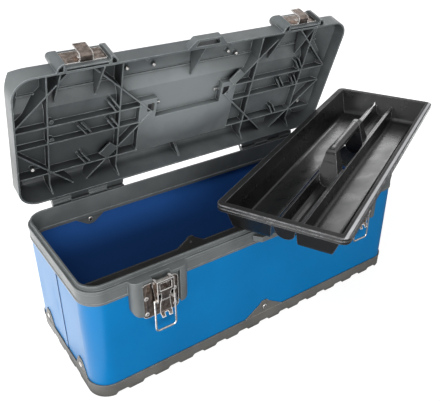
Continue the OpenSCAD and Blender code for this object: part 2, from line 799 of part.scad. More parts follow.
// all stiffening ribs, cut to the hollow of the lid later
module lid_ribs() {
    for (s = [-1, 1]) {
        for (x = rib_x) {
            rib([s * x, 0], [s * x, box_dep], rib_free);
            // they taper down the front and rear walls
            along_x(s * x - rib_t / 2, s * x + rib_t / 2)
                polygon([[box_dep, 4], [box_dep - 12, rib_free + 1], [box_dep, rib_free + 1]]);
            along_x(s * x - rib_t / 2, s * x + rib_t / 2)
                polygon([[0, 4], [14, rib_free + 1], [0, rib_free + 1]]);
        }
        for (y = rib_s) rib([s * (post_out + 1), y], [s * box_len / 2, y], rib_free);
        // diamond round the latch
        for (u = [-1, 1], v = [-1, 1])
            rib([s * latch_x + u * diamond_half, diamond_s],
                [s * latch_x, diamond_s + v * diamond_half], rib_free);
        for (x = [159, 221]) front_gusset(s * x);
        // paired short ribs in the bays, inner end first
        rib_pair([s * latch_x - 1, 115], [s * latch_x + 15, rib_s[1]], rib_free + 2);
        rib_pair([s * latch_x + 1, 55], [s * latch_x + 14, rib_s[2]], rib_free + 2);
        for (y = [146, 112])
            rib_pair([(s > 0 ? rib_x[0] : -rib_x[1]) - 16, y],
                     [(s > 0 ? rib_x[0] : -rib_x[1]) - 3, y - 19], rib_free + 1);
        // screw bosses
        for (p = [[260, 198], [259, 46], [229, 128], [229, 95], [120, 202], [77, 196]])
            translate([s * p.x, p.y, (p.y > valley_front ? crown_h : floor_w) - 10])
                cylinder(r = 3.4, h = crown_h);
    }
    // low rib along the front of the valley
    rib([-box_len / 2, valley_front + valley_run + 2], [box_len / 2, valley_front + valley_run + 2],
        crown_h - lid_wall - 3);
    front_gusset(3);
    along_x(-8 - rib_t, -8 + rib_t)
        polygon([[0, 8], [valley_rear - 14, crown_h], [0, crown_h]]);
    strap([-rib_x[1] - 8.5, 44], 25, 19, 45);
    strap([94, 134], 25, 16, 45);
}

keep_w = 63;
lid_pad_top = 40;

// side view of the pads, in (from rear, from rim), drawn in by t
module pad_side(t) {
    round = 12;
    polygon(concat([[box_dep - bevel, -cut * t], [box_dep + pad_out - t, -cut * t]],
                   arc(box_dep + pad_out - round, lid_pad_top - round, round - t, 0, 90, 6),
                   [[box_dep - bevel, lid_pad_top - t]]));
}

// rounded shoulders that carry on the body's pads, with a recess for the keeper
module lid_pad(cx) {
    translate([cx, 0, 0]) difference() {
        intersection() {
            translate([0, box_dep - cut, 0]) mirror([0, 1, 0])
                linear_extrude(lid_pad_top) pad_plan(pad_w, pad_out + cut, shoulder_r);
            along_x(-pad_w, pad_w) pad_side(0);
        }
        translate([-keep_w / 2, box_dep + keeper_in, -cut])
            cube([keep_w, pad_out, lid_pad_top + 2 * cut]);
    }
    // solid root between the pad's upper end and the bevel
    translate([cx, 0, 0]) intersection() {
        along_x(-pad_w / 2 + 4, pad_w / 2 - 4)
            polygon([[box_dep - 2, skirt_h - 2], [box_dep + keeper_in, skirt_h],
                     [box_dep + keeper_in - 2, lid_pad_top - 3], [box_dep - 15, lid_pad_top - 3],
                     [box_dep - 17, lid_pad_top - 3.4]]);
        translate([-pad_w, 0, 0]) cube([2 * pad_w, box_dep + pad_out, lid_pad_top]);
    }
}

// hollows of the pads, open towards the rim
module lid_pad_hollows(cx) {
    wall = 2.2;
    depth = 27;
    for (s = [-1, 1])
        translate([cx, 0, 0]) intersection() {
            translate([0, box_dep - cut, -cut]) mirror([0, 1, 0])
                linear_extrude(depth + cut)
                    pad_plan(pad_w - 2 * wall, pad_out + cut - wall, shoulder_r - wall);
            along_x(-pad_w, pad_w) pad_side(wall);
            translate([s > 0 ? keep_w / 2 + wall : -pad_w, box_dep + 0.5, -cut])
                cube([pad_w - keep_w / 2 - wall, pad_out, depth + 2 * cut]);
        }
    translate([cx - keep_w / 2 + wall, box_dep + 0.5, -cut])
        cube([keep_w - 2 * wall, keeper_in - 2 - 0.5, depth - 8 + cut]);
}

// boss with a window, over the padlock lug of the body
module hasp_boss() {
    half = 35;
    out = 13;
    wall = 3;
    difference() {
        translate([0, box_dep - 1, 0])
            linear_extrude(12)
                polygon([[-half, 0], [half, 0], [half - 13, out + 1], [-half + 13, out + 1]]);
        translate([0, box_dep, -cut])
            linear_extrude(14)
                polygon([[-half + 13, 2], [half - 13, 2], [half - 18, out - wall], [-half + 18, out - wall]]);
    }
}

module lid_knuckle(side, k) {
    x0 = knuckle_x(side, k) + free_gap / 2;
    x1 = x0 + knuckle_len - free_gap;
    rel = hinge_up - lid_gap;
    difference() {
        union() {
            rod_x(x0, x1, -hinge_out, rel, knuckle_r);
            along_x(x0, x1)
                polygon([[0.5, 0.2], [-hinge_out, rel - knuckle_r + 0.1], [-hinge_out, rel + knuckle_r],
                         [-2, rel + knuckle_r + 4], [0.5, rel + knuckle_r + 8]]);
        }
        rod_x(x0 - cut, x1 + cut, -hinge_out, rel, hinge_pin_r + run_gap);
    }
}

keeper_in = 5;
keeper_t = 1.5;
// the closed bail's crossbar, above the lid's rim, and the hook that holds it
hook_reach = 11;
hook_bend = 5.5;
bar_y = -box_dep / 2 - keeper_in - keeper_t - hook_reach + hook_bend;
bar_w = ear_z + sqrt(bail_len * bail_len - (bar_y - ear_y) * (bar_y - ear_y)) - lid_rim_z;
keeper_low = bar_w - wire_r - keeper_t - 0.1;
keeper_top = 33;
keeper_half = 30.5;
keeper_rivet_w = 17.5;
keeper_rivet_x = 5;

module lid_shell() {
    color(dark_grey) lid_pose() lid_frame() difference() {
        union() {
            difference() {
                union() {
                    lid_body(0);
                    for (s = [-1, 1]) lid_pad(s * latch_x);
                    hasp_boss();
                }
                lid_body(lid_wall);
            }
            intersection() {
                lid_body(lid_wall * 0.5);
                union() {
                    difference() {
                        lid_ribs();
                        handle_recess(0, recess_floor - lid_wall, crown_h + cut);
                    }
                    handle_recess(lid_wall, recess_floor - lid_wall, floor_w);
                }
            }
            for (side = [-1, 1], k = [0, 2]) lid_knuckle(side, k);
        }
        handle_recess(0, recess_floor, crown_h + cut);
        for (s = [-1, 1]) lid_pad_hollows(s * latch_x);
        // windows through which the pins of the handle show inside the lid
        for (s = [-1, 1])
            translate([s > 0 ? post_in + 1 : -post_in - 13, handle_s - 8, recess_floor - lid_wall - cut])
                cube([12, 15, lid_wall + 2 * cut]);
        for (s = [-1, 1])
            rod_x(s > 0 ? post_in - 14 : -post_out - 8, s > 0 ? post_out + 8 : -post_in + 14,
                  handle_s, handle_w, handle_pin_r + hole_gap);
        for (s = [-1, 1], k = [-1, 1])
            rod_y(s * latch_x + k * keeper_rivet_x, box_dep - 14, box_dep + pad_out,
                  keeper_rivet_w, rivet_r + hole_gap);
    }
}

// catch plate with an upturned hook for the bail's crossbar
module keeper(cx) {
    t = keeper_t;
    hook_half = 9.5;
    back = box_dep + keeper_in;
    reach = hook_reach;
    bend = hook_bend;
    color(steel) lid_pose() lid_frame() translate([cx, 0, 0]) difference() {
        union() {
            along_y(back, back + t)
                translate([0, (keeper_low + keeper_top) / 2])
                    rounded_outline(2 * keeper_half, keeper_top - keeper_low, 3);
            along_x(-hook_half, hook_half)
                polygon(concat(
                    [[back + t, keeper_low + 3.5], [back + t - 0.2, keeper_low]],
                    arc(back + t + reach - bend, keeper_low + bend, bend, 270, 360, 5),
                    [[back + t + reach, keeper_top], [back + t + reach - t, keeper_top]],
                    arc(back + t + reach - bend, keeper_low + bend, bend - t, 360, 270, 5),
                    [[back + t + 2, keeper_low + t]]));
        }
        for (k = [-1, 1])
            rod_y(k * keeper_rivet_x, back - 4, back + t + 4, keeper_rivet_w, rivet_r + hole_gap);
    }
}

module keeper_rivets(cx) {
    face = box_dep + keeper_in + keeper_t;
    color(steel) lid_pose() lid_frame() for (k = [-1, 1])
        translate([cx + k * keeper_rivet_x, 0, keeper_rivet_w]) {
            rod_y(0, box_dep - lid_wall, face, 0, rivet_r);
            translate([0, face, 0]) rotate([-90, 0, 0]) cylinder(r1 = 3.4, r2 = 2.6, h = 0.9);
            translate([0, box_dep - lid_wall, 0]) rotate([90, 0, 0]) cylinder(r1 = 3.4, r2 = 2.6, h = 0.9);
        }
}

// ---------- carry handle ----------

module carry_handle() {
    arm_t = 10;
    grip_w = recess_floor + free_gap + 0.4 + grip_r;
    s_grip = handle_s - grip_reach;
    color(black) lid_pose() lid_frame() difference() {
        union() {
            for (s = [-1, 1])
                along_x(s * arm_x - arm_w / 2, s * arm_x + arm_w / 2) union() {
                    translate([handle_s, handle_w]) circle(arm_t / 2 + 0.4);
                    translate([s_grip, grip_w]) circle(grip_r);
                    polygon([[handle_s, handle_w - arm_t / 2 - 0.4], [handle_s, handle_w + arm_t / 2 + 0.4],
                             [s_grip, grip_w + grip_r], [s_grip - grip_r, grip_w],
                             [s_grip, grip_w - grip_r]]);
                }
            rod_x(-arm_x, arm_x, s_grip, grip_w, grip_r);
            // finger swells of the grip
            for (k = [-1.5:1:1.5])
                rod_x(k * 26 - 9, k * 26 + 9, s_grip, grip_w, grip_r + 0.35);
        }
        for (s = [-1, 1])
            rod_x(s * arm_x - arm_w, s * arm_x + arm_w, handle_s, handle_w, handle_pin_r + run_gap);
    }
}

module handle_pin(side) {
    color(steel) lid_pose() lid_frame()
        rod_x(side > 0 ? post_in - 12 : -post_out - 4, side > 0 ? post_out + 4 : -post_in + 12,
              handle_s, handle_w, handle_pin_r);
}

// ---------- tote tray, drawn level about its own middle, top of the flange at z = 0 ----------

module tray_pose() {
    translate([tray_x, tray_y, tray_z]) rotate([0, 0, tray_turn]) children();
}

// points that round the corner c between a and b, starting r before it
function soft(a, c, b, r) = let(p = c + (a - c) * r / norm(a - c), q = c + (b - c) * r / norm(b - c))
    [for (k = [0:3]) let(t = k / 3) (1 - t) * (1 - t) * p + 2 * t * (1 - t) * c + t * t * q];

// outline of a compartment's cross-section: y at the top and at the bottom of each side
function trough(y0, y1, b0, b1, top, low, r) = concat(
    [[y0, top]], soft([y0, top], [b0, low], [b1, low], r),
    soft([b0, low], [b1, low], [y1, top], r), [[y1, top]]);

left_top = tray_wid / 2 - flange_w;
right_top = -tray_wid / 2 + flange_w;
gutter_y = [-22.5, 15];
gutter_low = -tray_dep + 7;
gutter_r = 15;
floor_low = -tray_dep;
end_draft = 14;

// lengthwise wall lines that limit the inside of the tray
function end_outline(half, t, top, low) =
    trough(-half + t, half - t, -half + end_draft + t, half - end_draft - t, top, low, 7);

// underside for t = 0 or inside for t = tray_wall, of one compartment
module compartment(profile_points, t, top, low) {
    half = tray_len / 2 - flange_w;
    intersection() {
        along_x(-half, half) polygon(profile_points);
        along_y(-tray_wid, tray_wid) polygon(end_outline(half, t, top, low));
    }
}

module tray_outside() {
    w = tray_wall;
    compartment(trough(left_top, gutter_y[1] - w, left_top - 12, gutter_y[1] + 4, 0, floor_low, 6),
                0, 0, floor_low);
    compartment(trough(gutter_y[0] + w, right_top, gutter_y[0] + 1, right_top + 18, 0, floor_low, 6),
                0, 0, floor_low);
    // round-bottomed gutter
    compartment(concat([[gutter_y[1] + w, 0]],
                       arc((gutter_y[0] + gutter_y[1]) / 2, gutter_low + gutter_r, gutter_r, 0, -180, 8),
                       [[gutter_y[0] - w, 0]]), 0, 0, floor_low);
}

module tray_inside() {
    w = tray_wall;
    low = floor_low + w;
    compartment(trough(left_top - w, gutter_y[1] + w / 2, left_top - 12 - w, gutter_y[1] + 4 + w,
                       cut, low, 5), w, cut, low);
    compartment(trough(gutter_y[0] - w / 2, right_top + w, gutter_y[0] + 1 - w, right_top + 18 + w,
                       cut, low, 5), w, cut, low);
    compartment(concat([[gutter_y[1] - w / 2, cut]],
                       arc((gutter_y[0] + gutter_y[1]) / 2, gutter_low + gutter_r, gutter_r - w, 0, -180, 8),
                       [[gutter_y[0] + w / 2, cut]]), w, cut, low);
    // everything above the dividers is open
    compartment([[left_top - w, cut], [left_top - w - 5, -divider_drop],
                 [right_top + w + 8, -divider_drop], [right_top + w, cut]],
                w, cut, low);
}

gutter_mid = (gutter_y[0] + gutter_y[1]) / 2;
pillar_w = 31;

grip_y = gutter_mid + 2;

module tote_grip() {
    rod_x(-hand_half - 12, hand_half + 12, grip_y, tote_grip_up, tote_grip_r);
    for (s = [-1, 1])
        intersection() {
            translate([0, gutter_mid, 0])
                along_y(-pillar_w / 2, pillar_w / 2 + 4)
                    polygon(concat(
                        [[s * hand_half, gutter_low + 2], [s * (hand_half + 36), gutter_low + 2],
                         [s * (hand_half + 24), -4]],
                        [for (k = [0:4]) [s * (hand_half + 9 + 9 * cos(k * 22.5)),
                                          tote_grip_up - 1 + (tote_grip_r + 1.3) * sin(k * 22.5)]],
                        [[s * hand_half, tote_grip_up + tote_grip_r + 0.2]]));
            // front view: round foot in the gutter, narrowing to the grip
            along_x(-tray_len / 2, tray_len / 2)
                polygon(concat(
                    arc(gutter_mid, gutter_low + gutter_r, gutter_r - tray_wall / 2, 180, 360, 10),
                    [[gutter_mid + pillar_w / 2, -16]],
                    arc(grip_y, tote_grip_up, tote_grip_r + 0.6, 0, 180, 8),
                    [[gutter_mid - pillar_w / 2, -16]]));
        }
}

// one layer of the flange, drawn in by d
module flange_layer(d, z0, z1) {
    translate([0, 0, z0]) linear_extrude(z1 - z0)
        rounded_outline(tray_len - 2 * d, tray_wid - 2 * d, flange_r - d);
}

// flange with a rounded top edge, a groove below it and a turned-down lip
module tray_flange() {
    flange_layer(1.2, -0.4, 0);
    flange_layer(0.5, -1.1, -0.4);
    flange_layer(0, -flange_t * 0.42, -1.1);
    flange_layer(0.9, -flange_t * 0.58, -flange_t * 0.42);
    flange_layer(0, -flange_t, -flange_t * 0.58);
}

module tote_tray() {
    color(black) tray_pose() difference() {
        union() {
            difference() {
                union() {
                    tray_flange();
                    tray_outside();
                }
                tray_inside();
                // underside of the flange, hollow behind its edge
                translate([0, 0, -flange_t - cut])
                    linear_extrude(flange_t - 2.6 + cut) difference() {
                        rounded_outline(tray_len - 4.4, tray_wid - 4.4, flange_r - 2.2);
                        square([tray_len - 2 * flange_w - 2, tray_wid - 2 * flange_w - 2], center = true);
                    }
            }
            tote_grip();
        }
        // hand opening through the gutter, under the grip
        translate([-hand_half, gutter_y[0] + tray_wall / 2, -tray_dep - cut])
            cube([2 * hand_half, gutter_y[1] - gutter_y[0] - tray_wall, tray_dep - divider_drop + cut]);
    }
}

// ---------- the assembly ----------

base_tray();
body_shell();
top_collar();
padlock_lug();
base_screws();
collar_screws();
latch_backing(-latch_x);  // latch_backing_left
latch_backing(latch_x);  // latch_backing_right
latch_base(-latch_x);  // latch_base_left
latch_base(latch_x);  // latch_base_right
latch_rivets(-latch_x);  // latch_rivets_left
latch_rivets(latch_x);  // latch_rivets_right
lever_pin(-latch_x);  // lever_pin_left
lever_pin(latch_x);  // lever_pin_right
lever(-latch_x);  // lever_left
lever(latch_x);  // lever_right
bail(-latch_x);  // bail_left
bail(latch_x);  // bail_right
hinge_pin(-1);  // hinge_pin_left
hinge_pin(1);  // hinge_pin_right
lid_shell();
keeper(-latch_x);  // keeper_left
keeper(latch_x);  // keeper_right
keeper_rivets(-latch_x);  // keeper_rivets_left
keeper_rivets(latch_x);  // keeper_rivets_right
carry_handle();
handle_pin(-1);  // handle_pin_left
handle_pin(1);  // handle_pin_right
tote_tray();
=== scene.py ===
"""Finishes, small fittings, light and camera for a steel-and-plastic tool box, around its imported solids."""

import json
from math import cos, radians, sin

import bpy
import numpy as np
from mathutils import Matrix, Vector


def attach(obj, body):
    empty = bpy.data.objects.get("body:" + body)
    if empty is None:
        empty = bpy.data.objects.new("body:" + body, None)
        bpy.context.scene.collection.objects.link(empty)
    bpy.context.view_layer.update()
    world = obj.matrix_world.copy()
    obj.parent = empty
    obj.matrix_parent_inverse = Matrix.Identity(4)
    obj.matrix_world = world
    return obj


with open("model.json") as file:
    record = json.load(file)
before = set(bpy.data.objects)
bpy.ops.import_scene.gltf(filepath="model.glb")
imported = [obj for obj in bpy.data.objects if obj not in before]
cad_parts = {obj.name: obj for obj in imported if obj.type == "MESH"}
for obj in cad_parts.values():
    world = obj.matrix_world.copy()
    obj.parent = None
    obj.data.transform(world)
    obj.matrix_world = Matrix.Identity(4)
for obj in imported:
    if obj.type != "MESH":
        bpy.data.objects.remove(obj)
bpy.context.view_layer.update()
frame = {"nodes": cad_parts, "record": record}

MM = 0.001


# ---------- camera ----------

LENS = 46.65
SHIFT_X, SHIFT_Y = -0.00945, -0.00873
EYE = Vector((-0.46080, -0.65170, 0.63760))
AZIMUTH, ELEVATION, ROLL = radians(-35.26), radians(29.79), radians(0.29)


def place_camera():
    """The camera's axes come from its azimuth, its elevation and a small roll about the line of sight."""
    back = Vector((sin(AZIMUTH) * cos(ELEVATION), -cos(AZIMUTH) * cos(ELEVATION), sin(ELEVATION)))
    right = Vector((0, 0, 1)).cross(back).normalized()
    up = back.cross(right)
    rolled_right = cos(ROLL) * right + sin(ROLL) * up
    rolled_up = cos(ROLL) * up - sin(ROLL) * right
    data = bpy.data.cameras.new("camera")
    data.sensor_width = 36
    data.lens = LENS
    data.shift_x, data.shift_y = SHIFT_X, SHIFT_Y
    data.clip_start, data.clip_end = 0.02, 20
    camera = bpy.data.objects.new("camera", data)
    turn = Matrix((rolled_right, rolled_up, back)).transposed()
    camera.matrix_world = Matrix.Translation(EYE) @ turn.to_4x4()
    bpy.context.scene.collection.objects.link(camera)
    bpy.context.scene.camera = camera


place_camera()


# ---------- shader sums ----------


class Reading:
    """A number or colour that varies over a surface. Sums on it add Math nodes to its finish."""

    def __init__(self, finish, socket):
        self.finish, self.socket = finish, socket

    def _math(self, operation, a, b):
        return self.finish.node("ShaderNodeMath", {"operation": operation}, {0: a, 1: b})

    def __add__(self, other):
        return self._math("ADD", self, other)

    __radd__ = __add__

    def __sub__(self, other):
        return self._math("SUBTRACT", self, other)

    def __rsub__(self, other):
        return self._math("SUBTRACT", other, self)

    def __mul__(self, other):
        return self._math("MULTIPLY", self, other)

    __rmul__ = __mul__

    def __truediv__(self, other):
        return self._math("DIVIDE", self, other)

    def clamped(self):
        return self.finish.node("ShaderNodeClamp", {}, {"Value": self})

    def ramp(self, low, high):
        """0 below low and 1 above high, smooth in between."""
        values = {"Value": self, "From Min": low, "From Max": high}
        return self.finish.node("ShaderNodeMapRange", {"interpolation_type": "SMOOTHSTEP"}, values)


class Finish:
    """One material, built node by node around a Principled shader."""

    def __init__(self, name, **fixed):
        self.material = bpy.data.materials.new(name)
        self.material.use_nodes = True
        self.tree = self.material.node_tree
        self.tree.nodes.clear()
        self.output = self.tree.nodes.new("ShaderNodeOutputMaterial")
        self.shader = self.tree.nodes.new("ShaderNodeBsdfPrincipled")
        self.tree.links.new(self.shader.outputs[0], self.output.inputs["Surface"])
        for socket, value in fixed.items():
            self.set(socket.replace("_", " "), value)

    def node(self, kind, settings, values, output=0):
        """Adds a node, applies its settings, then fills its sockets with values or links."""
        made = self.tree.nodes.new(kind)
        for key, value in settings.items():
            setattr(made, key, value)
        for key, value in values.items():
            self._fill(made.inputs[key], value)
        return Reading(self, made.outputs[output])

    def _fill(self, socket, value):
        if isinstance(value, Reading):
            self.tree.links.new(value.socket, socket)
        elif socket.type == "RGBA":
            socket.default_value = (*value, 1)
        else:
            socket.default_value = value

    def set(self, socket, value):
        self._fill(self.shader.inputs[socket], value)

    def place(self):
        """Object coordinates, in metres, the same in every piece."""
        return self.node("ShaderNodeTexCoord", {}, {}, "Object")

    def axis(self, letter):
        return self.node("ShaderNodeSeparateXYZ", {}, {0: self.place()}, letter.upper())

    def grain(self, size, detail=3.0, rough=0.55, stretch=(1, 1, 1)):
        """Noise whose lumps are about size metres wide."""
        at = self.place()
        if stretch != (1, 1, 1):
            at = self.node("ShaderNodeMapping", {}, {"Vector": at, "Scale": stretch})
        values = {"Vector": at, "Scale": 1 / size, "Detail": detail, "Roughness": rough}
        return self.node("ShaderNodeTexNoise", {}, values)

    def mix(self, share, a, b):
        """Colour a where share is 0 and colour b where it is 1."""
        made = self.tree.nodes.new("ShaderNodeMix")
        made.data_type = "RGBA"
        for number, value in ((0, share), (6, a), (7, b)):
            self._fill(made.inputs[number], value)
        return Reading(self, made.outputs[2])

    def dot(self, a, b):
        settings = {"operation": "DOT_PRODUCT"}
        return self.node("ShaderNodeVectorMath", settings, {0: a, 1: b}, "Value")

    def rounded(self, radius):
        """The surface direction with edges rounded off by radius."""
        return self.node("ShaderNodeBevel", {"samples": 6}, {"Radius": radius})

    def edge(self, radius, full=0.28):
        """1 on edges nearer than about radius, 0 on open faces. A smaller full makes it wider."""
        flat = self.node("ShaderNodeNewGeometry", {}, {}, "Normal")
        return (1 - self.dot(self.rounded(radius), flat)).ramp(0.02, full)

    def openness(self, reach):
        """1 on open faces, falling towards 0 in corners and pockets narrower than reach."""
        return self.node("ShaderNodeAmbientOcclusion", {"samples": 6}, {"Distance": reach}, "AO")

    def facing(self, direction):
        """How far the surface looks along direction, in the piece's own axes."""
        return self.dot(self.node("ShaderNodeTexCoord", {}, {}, "Normal"), direction)

    def relief(self, *layers, radius):
        """Stacks bumps, each (height reading, depth in metres), on edges rounded off by radius."""
        normal = self.rounded(radius)
        for height, depth in layers:
            values = {"Height": height, "Strength": 1.0, "Distance": depth, "Normal": normal}
            normal = self.node("ShaderNodeBump", {}, values)
        self.set("Normal", normal)

    def over(self, share, shader):
        """Shows another shader in place of this finish where share is 1."""
        either = self.tree.nodes.new("ShaderNodeMixShader")
        self._fill(either.inputs[0], share)
        self.tree.links.new(self.shader.outputs[0], either.inputs[1])
        self.tree.links.new(shader.outputs[0], either.inputs[2])
        self.tree.links.new(either.outputs[0], self.output.inputs["Surface"])


# ---------- finishes ----------


def tint(colour, times, lift=0.0):
    """The colour made times brighter, then lifted."""
    return tuple(min(1, c * times + lift) for c in colour)


# the way the open lid's inner face looks
LID_INSIDE = (0.0, -0.947, -0.32)
# middle, in x and z, and half width and height of the painted highlight, a paler patch inside the lid, in
# metres
HIGHLIGHT_X, HIGHLIGHT_Z = -0.02, 0.32
HIGHLIGHT_HALF_X, HIGHLIGHT_HALF_Z = 0.16, 0.072
# the painted shade on the lid's lower left begins under this height
SHADE_BELOW_Z = 0.43


def lid_highlight_and_shade(finish, tone, cloud, dark, pale):
    """Inside the lid: a painted highlight as a paler patch round the handle recess, and painted shade lower
    left.
    """
    inside = finish.facing(LID_INSIDE).ramp(-0.4, -0.05)
    off_x = (finish.axis("x") - HIGHLIGHT_X) / HIGHLIGHT_HALF_X
    off_z = (finish.axis("z") - HIGHLIGHT_Z) / HIGHLIGHT_HALF_Z
    # painted highlight: paler in an ellipse round the handle recess
    patch = 1 - (off_x * off_x + off_z * off_z + cloud * 0.3).ramp(0.2, 1.2)
    tone = finish.mix(patch * inside * 0.7, tone, tint(pale, 2.3))
    # painted shade: the lower left darkened
    low_left_shade = (0 - finish.axis("x")).ramp(0.02, 0.2) * (SHADE_BELOW_Z - finish.axis("z")).ramp(0.0, 0.16)
    return finish.mix(low_left_shade * inside * 0.8, tone, tint(dark, 0.35))


def moulded_grey(name, dark, pale, roughness=0.5, rub_and_highlight=0.5, pocket_shade=0.5, reach=16 * MM, painted_light=None):
    """Grey polypropylene: eroded grain, cloudy tone, paler edges from rubbing and a painted highlight,
    painted shade darkening pockets, and a piece's own painted light and shade where it has one."""
    finish = Finish(name, IOR=1.46)
    cloud = finish.grain(0.055, 4.0).ramp(0.32, 0.68)
    speck = finish.grain(0.0011, 2.0, 0.7)
    tone = finish.mix(cloud, dark, pale)
    if painted_light:
        tone = painted_light(finish, tone, cloud, dark, pale)
    tone = finish.mix(speck.ramp(0.45, 0.75) * 0.12, tone, tint(pale, 1.5))
    # paler edges, partly from rubbing and partly a painted highlight
    worn_and_highlit = finish.edge(1.8 * MM) * (0.45 + 0.55 * finish.grain(0.012, 3.0).ramp(0.35, 0.7))
    # painted shade: darker in corners and pockets narrower than reach
    shut = (1 - finish.openness(reach)).ramp(0.1, 0.75)
    tone = finish.mix(shut * pocket_shade, tone, tint(dark, 0.2))
    tone = finish.mix(worn_and_highlit * rub_and_highlight, tone, tint(pale, 3.2, 0.08))
    finish.set("Base Color", tone)
    finish.set("Roughness", roughness + 0.12 * (cloud - 0.5) - 0.10 * worn_and_highlit)
    finish.relief((speck, 0.06 * MM), (finish.grain(0.03, 2.0), 0.5 * MM), radius=1.1 * MM)
    return finish.material


BLUE_DEEP, BLUE_CLEAR = (0.0, 0.178, 0.46), (0.0, 0.198, 0.505)
# BLUE_SHUT is the dark of the seam line and of painted shade in corners
BLUE_DUST, BLUE_INSIDE, BLUE_SHUT = (0.0, 0.26, 0.60), (0.032, 0.14, 0.48), (0.0, 0.02, 0.09)
# the lap seam's line, and how far left the face that it runs down lies, in metres
SEAM_Y = -12 * MM
LEFT_END = (0.27, 0.275)


def painted_blue():
    """Enamelled sheet: even blue, more violet inside, faint orange peel, a dark line down the seam, and
    painted shade in corners and pockets.
    """
    finish = Finish("blue_paint", IOR=1.34)
    cloud = finish.grain(0.12, 3.0).ramp(0.3, 0.7)
    dust = finish.grain(0.0006, 2.0, 0.6).ramp(0.62, 0.8)
    colour = finish.mix(cloud, BLUE_DEEP, BLUE_CLEAR)
    colour = finish.mix(dust * 0.05, colour, BLUE_DUST)
    # the sheet's inner face looks towards the box's middle, which is the origin
    inside = (0 - finish.facing(finish.place())).ramp(0.0, 0.05)
    colour = finish.mix(inside, colour, BLUE_INSIDE)
    near = (finish.axis("y") - SEAM_Y) * (1 / MM)
    line = (1 - (near * near).ramp(0.5, 3.0)) * (0 - finish.axis("x")).ramp(*LEFT_END)
    # painted shade: darker towards BLUE_SHUT in corners and pockets; the seam line is a dark joint
    shut = (1 - finish.openness(9 * MM)).ramp(0.25, 0.9)
    finish.set("Base Color", finish.mix(line * 0.7 + shut * 0.35, colour, BLUE_SHUT))
    scuff = finish.grain(0.02, 5.0, 0.65, (1, 1, 0.25)).ramp(0.5, 0.8)
    finish.set("Roughness", 0.30 + 0.08 * scuff + 0.04 * cloud)
    peel, dents = finish.grain(0.0035, 2.0), finish.grain(0.09, 1.0)
    finish.relief((peel, 0.04 * MM), (dents, 1.0 * MM), radius=0.4 * MM)
    return finish.material


# the brown of stains and painted shade in pockets, and the white of a painted highlight on rims
STAIN_AND_SHADE_BROWN, HIGHLIGHT_WHITE = (0.02, 0.012, 0.008), (1.0, 0.99, 0.97)


def plated(name, bright, dull, roughness=0.2, brush=(1, 1, 1), stain_and_shade=0.6):
    """Nickel on pressed steel: fine drawing lines, brown stains and painted shade in pockets, and rims
    painted white and less metallic as a painted highlight.
    """
    finish = Finish(name)
    patch = finish.grain(0.006, 4.0, 0.6).ramp(0.35, 0.7)
    lines = finish.grain(0.0007, 3.0, 0.6, brush)
    shut = (1 - finish.openness(6 * MM)).ramp(0.08, 0.55)
    tone = finish.mix(patch * 0.8, bright, dull)
    # brown stains and painted shade: darker in pockets
    tone = finish.mix(shut * stain_and_shade, tone, STAIN_AND_SHADE_BROWN)
    # painted highlight: rims turned white and less metallic
    rim = finish.edge(2.2 * MM, 0.09)
    finish.set("Base Color", finish.mix(rim * 0.95, tone, HIGHLIGHT_WHITE))
    finish.set("Metallic", 1 - rim * 0.85)
    finish.set("Roughness", roughness + 0.12 * patch + 0.10 * (lines - 0.5))
    finish.relief((lines, 0.02 * MM), (finish.grain(0.006, 2.0), 0.12 * MM), radius=0.6 * MM)
    return finish.material


# the tray's middle, the level of its flange, its turn, half its width, and the way in of the painted sheen's
# strip
TRAY_X, TRAY_Y, TRAY_TOP = 211.2 * MM, -48.6 * MM, 237.3 * MM
TRAY_TURN = radians(27)
TRAY_HALF = 95.9 * MM
STRIP_IN = 4.5 * MM
# a painted sheen's grey for the flange strip, and the grey of edges paler from rubbing and a painted
# highlight
SHEEN_GREY, RUBBED_HIGHLIGHT_GREY = (0.8, 0.8, 0.82), (0.62, 0.62, 0.64)


def flange_masks(finish):
    """The level top of the tray's flange, and a narrow strip of it along the right side that carries a
    painted sheen.
    """
    rise = (finish.axis("z") - TRAY_TOP) * (1 / MM)
    level = 1 - (rise * rise).ramp(0.3, 1.5)
    from_x, from_y = finish.axis("x") - TRAY_X, finish.axis("y") - TRAY_Y
    across = from_y * cos(TRAY_TURN) - from_x * sin(TRAY_TURN)
    off = (across + TRAY_HALF - STRIP_IN) * (1 / MM)
    return level, level * (1 - (off * off).ramp(2, 8))


def moulded_black(name, tone, roughness, grain_depth, coat=0.0, rub_and_highlight=0.3, flanged=False):
    """Black plastic: near-black with a cool bloom, smears in the gloss, fine grain, and paler edges from
    rubbing and a painted highlight. A flanged piece has a matt flange with a painted sheen along its right
    side."""
    finish = Finish(name, IOR=1.5, Coat_Weight=coat, Coat_Roughness=0.15)
    bloom = finish.grain(0.045, 4.0).ramp(0.4, 0.75)
    smear = finish.grain(0.02, 5.0, 0.6, (0.35, 1, 1)).ramp(0.35, 0.75)
    speck = finish.grain(0.0008, 2.0, 0.7)
    # paler edges, partly from rubbing and partly a painted highlight
    worn_and_highlit = finish.edge(1.6 * MM, 0.2) * (0.4 + 0.6 * finish.grain(0.014, 3.0).ramp(0.3, 0.7))
    colour = finish.mix(bloom * 0.6, tone, tint(tone, 1.9))
    matt = 0.0
    if flanged:
        matt, strip = flange_masks(finish)
        # painted sheen: a pale grey strip along the flange's right side
        colour = finish.mix(strip * (0.75 + 0.25 * smear), colour, SHEEN_GREY)
        finish.set("Coat Weight", coat * (1 - matt))
    finish.set("Base Color", finish.mix(worn_and_highlit * rub_and_highlight, colour, RUBBED_HIGHLIGHT_GREY))
    gloss = 0.14 * (smear - 0.4) + 0.06 * (speck - 0.5) - 0.08 * worn_and_highlit
    finish.set("Roughness", roughness + gloss + 0.3 * matt)
    finish.relief((speck, grain_depth), (finish.grain(0.035, 2.0), 0.6 * MM), radius=1.2 * MM)
    return finish.material


